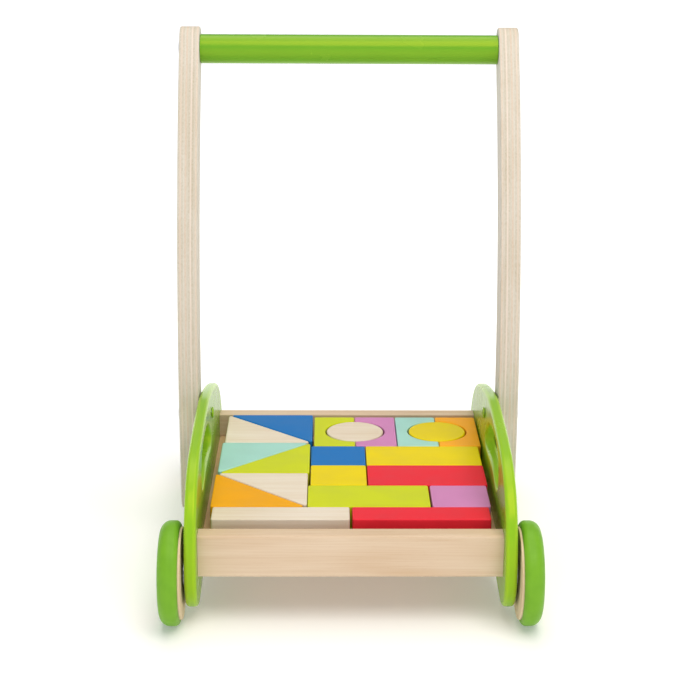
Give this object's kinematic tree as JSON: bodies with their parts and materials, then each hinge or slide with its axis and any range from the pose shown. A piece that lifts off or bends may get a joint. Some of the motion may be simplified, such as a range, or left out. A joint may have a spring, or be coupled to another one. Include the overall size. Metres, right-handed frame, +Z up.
{
  "type": "baby walker",
  "caption": "Wooden push-along baby walker: curved side panels, bent handle arms with a grip bar, rolling wheels and a tray of loose building blocks.",
  "frame": {"origin": "on the floor, midway between the four wheels", "axes": "+X across the cart to its right seen from the front, +Y from the front rail towards the child who pushes, +Z up"},
  "size_m": [0.28, 0.355, 0.41],
  "materials": {
    "green_lacquer": "high-gloss lacquer on solid wood",
    "green_rubber": "smooth satin",
    "birch_ply": "clear satin, plies showing on the edges",
    "beech": "clear satin",
    "steel": "zinc plated",
    "block_wood": "unpainted, sanded",
    "paint_blue": "satin paint on wood",
    "paint_aqua": "satin paint on wood",
    "paint_lime": "satin paint on wood",
    "paint_orange": "satin paint on wood",
    "paint_tangerine": "satin paint on wood",
    "paint_yellow": "satin paint on wood",
    "paint_red": "satin paint on wood",
    "paint_violet": "satin paint on wood"
  },
  "bodies": {
    "chassis": {"side_panel_left": "green_lacquer", "side_panel_right": "green_lacquer", "front_rail": "beech", "back_rail": "beech", "tray_floor": "birch_ply", "handle_arm_left": "birch_ply", "handle_arm_right": "birch_ply", "grip_bar": "green_lacquer", "arm_bolt_left": "steel", "arm_bolt_right": "steel", "arm_nut_left": "green_lacquer", "arm_nut_right": "green_lacquer", "arm_screw_left": "steel", "arm_screw_right": "steel", "grip_screw_left": "steel", "grip_screw_right": "steel", "rail_screw_front_left": "steel", "rail_screw_front_right": "steel", "rail_screw_back_left": "steel", "rail_screw_back_right": "steel", "axle_bolt_front_left": "steel", "axle_washer_front_left": "steel", "axle_bolt_front_right": "steel", "axle_washer_front_right": "steel", "axle_bolt_back_left": "steel", "axle_washer_back_left": "steel", "axle_bolt_back_right": "steel", "axle_washer_back_right": "steel"},
    "wheel_front_left": {"tyre_front_left": "green_rubber", "wheel_core_front_left": "beech", "hub_cap_front_left": "green_lacquer"},
    "wheel_front_right": {"tyre_front_right": "green_rubber", "wheel_core_front_right": "beech", "hub_cap_front_right": "green_lacquer"},
    "wheel_back_left": {"tyre_back_left": "green_rubber", "wheel_core_back_left": "beech", "hub_cap_back_left": "green_lacquer"},
    "wheel_back_right": {"tyre_back_right": "green_rubber", "wheel_core_back_right": "beech", "hub_cap_back_right": "green_lacquer"},
    "block_stick_natural": {"block_stick_natural": "block_wood"},
    "block_stick_red": {"block_stick_red": "paint_red"},
    "block_long_lime": {"block_long_lime": "paint_lime"},
    "block_short_violet": {"block_short_violet": "paint_violet"},
    "block_short_yellow": {"block_short_yellow": "paint_yellow"},
    "block_long_red": {"block_long_red": "paint_red"},
    "block_short_blue": {"block_short_blue": "paint_blue"},
    "block_long_yellow": {"block_long_yellow": "paint_yellow"},
    "block_arch_lime": {"block_arch_lime": "paint_lime"},
    "block_arch_violet": {"block_arch_violet": "paint_violet"},
    "block_arch_aqua": {"block_arch_aqua": "paint_aqua"},
    "block_arch_orange": {"block_arch_orange": "paint_tangerine"},
    "block_disc_natural": {"block_disc_natural": "block_wood"},
    "block_disc_yellow": {"block_disc_yellow": "paint_yellow"},
    "block_triangle_orange": {"block_triangle_orange": "paint_orange"},
    "block_triangle_natural_front": {"block_triangle_natural_front": "block_wood"},
    "block_triangle_lime": {"block_triangle_lime": "paint_lime"},
    "block_triangle_aqua": {"block_triangle_aqua": "paint_aqua"},
    "block_triangle_natural_back": {"block_triangle_natural_back": "block_wood"},
    "block_triangle_blue": {"block_triangle_blue": "paint_blue"}
  },
  "joints": [
    {"name": "wheel_front_left_spin", "type": "hinge", "parent": "chassis", "child": "wheel_front_left", "pos_m": [-0.1312, -0.1387, 0.0388], "axis": [1, 0, 0], "continuous": true},
    {"name": "wheel_front_right_spin", "type": "hinge", "parent": "chassis", "child": "wheel_front_right", "pos_m": [0.1312, -0.1387, 0.0388], "axis": [1, 0, 0], "continuous": true},
    {"name": "wheel_back_left_spin", "type": "hinge", "parent": "chassis", "child": "wheel_back_left", "pos_m": [-0.1312, 0.1387, 0.0388], "axis": [1, 0, 0], "continuous": true},
    {"name": "wheel_back_right_spin", "type": "hinge", "parent": "chassis", "child": "wheel_back_right", "pos_m": [0.1312, 0.1387, 0.0388], "axis": [1, 0, 0], "continuous": true},
    {"name": "lift_stick_natural", "type": "slide", "parent": "chassis", "child": "block_stick_natural", "axis": [0, 0, 1], "range_m": [0, 0.09]},
    {"name": "lift_stick_red", "type": "slide", "parent": "chassis", "child": "block_stick_red", "axis": [0, 0, 1], "range_m": [0, 0.09]},
    {"name": "lift_long_lime", "type": "slide", "parent": "chassis", "child": "block_long_lime", "axis": [0, 0, 1], "range_m": [0, 0.09]},
    {"name": "lift_short_violet", "type": "slide", "parent": "chassis", "child": "block_short_violet", "axis": [0, 0, 1], "range_m": [0, 0.09]},
    {"name": "lift_short_yellow", "type": "slide", "parent": "chassis", "child": "block_short_yellow", "axis": [0, 0, 1], "range_m": [0, 0.09]},
    {"name": "lift_long_red", "type": "slide", "parent": "chassis", "child": "block_long_red", "axis": [0, 0, 1], "range_m": [0, 0.09]},
    {"name": "lift_short_blue", "type": "slide", "parent": "chassis", "child": "block_short_blue", "axis": [0, 0, 1], "range_m": [0, 0.09]},
    {"name": "lift_long_yellow", "type": "slide", "parent": "chassis", "child": "block_long_yellow", "axis": [0, 0, 1], "range_m": [0, 0.09]},
    {"name": "lift_arch_lime", "type": "slide", "parent": "chassis", "child": "block_arch_lime", "axis": [0, 0, 1], "range_m": [0, 0.09]},
    {"name": "lift_arch_violet", "type": "slide", "parent": "chassis", "child": "block_arch_violet", "axis": [0, 0, 1], "range_m": [0, 0.09]},
    {"name": "lift_arch_aqua", "type": "slide", "parent": "chassis", "child": "block_arch_aqua", "axis": [0, 0, 1], "range_m": [0, 0.09]},
    {"name": "lift_arch_orange", "type": "slide", "parent": "chassis", "child": "block_arch_orange", "axis": [0, 0, 1], "range_m": [0, 0.09]},
    {"name": "lift_disc_natural", "type": "slide", "parent": "chassis", "child": "block_disc_natural", "axis": [0, 0, 1], "range_m": [0, 0.09]},
    {"name": "lift_disc_yellow", "type": "slide", "parent": "chassis", "child": "block_disc_yellow", "axis": [0, 0, 1], "range_m": [0, 0.09]},
    {"name": "lift_triangle_orange", "type": "slide", "parent": "chassis", "child": "block_triangle_orange", "axis": [0, 0, 1], "range_m": [0, 0.09]},
    {"name": "lift_triangle_natural_front", "type": "slide", "parent": "chassis", "child": "block_triangle_natural_front", "axis": [0, 0, 1], "range_m": [0, 0.09]},
    {"name": "lift_triangle_lime", "type": "slide", "parent": "chassis", "child": "block_triangle_lime", "axis": [0, 0, 1], "range_m": [0, 0.09]},
    {"name": "lift_triangle_aqua", "type": "slide", "parent": "chassis", "child": "block_triangle_aqua", "axis": [0, 0, 1], "range_m": [0, 0.09]},
    {"name": "lift_triangle_natural_back", "type": "slide", "parent": "chassis", "child": "block_triangle_natural_back", "axis": [0, 0, 1], "range_m": [0, 0.09]},
    {"name": "lift_triangle_blue", "type": "slide", "parent": "chassis", "child": "block_triangle_blue", "axis": [0, 0, 1], "range_m": [0, 0.09]}
  ]
}
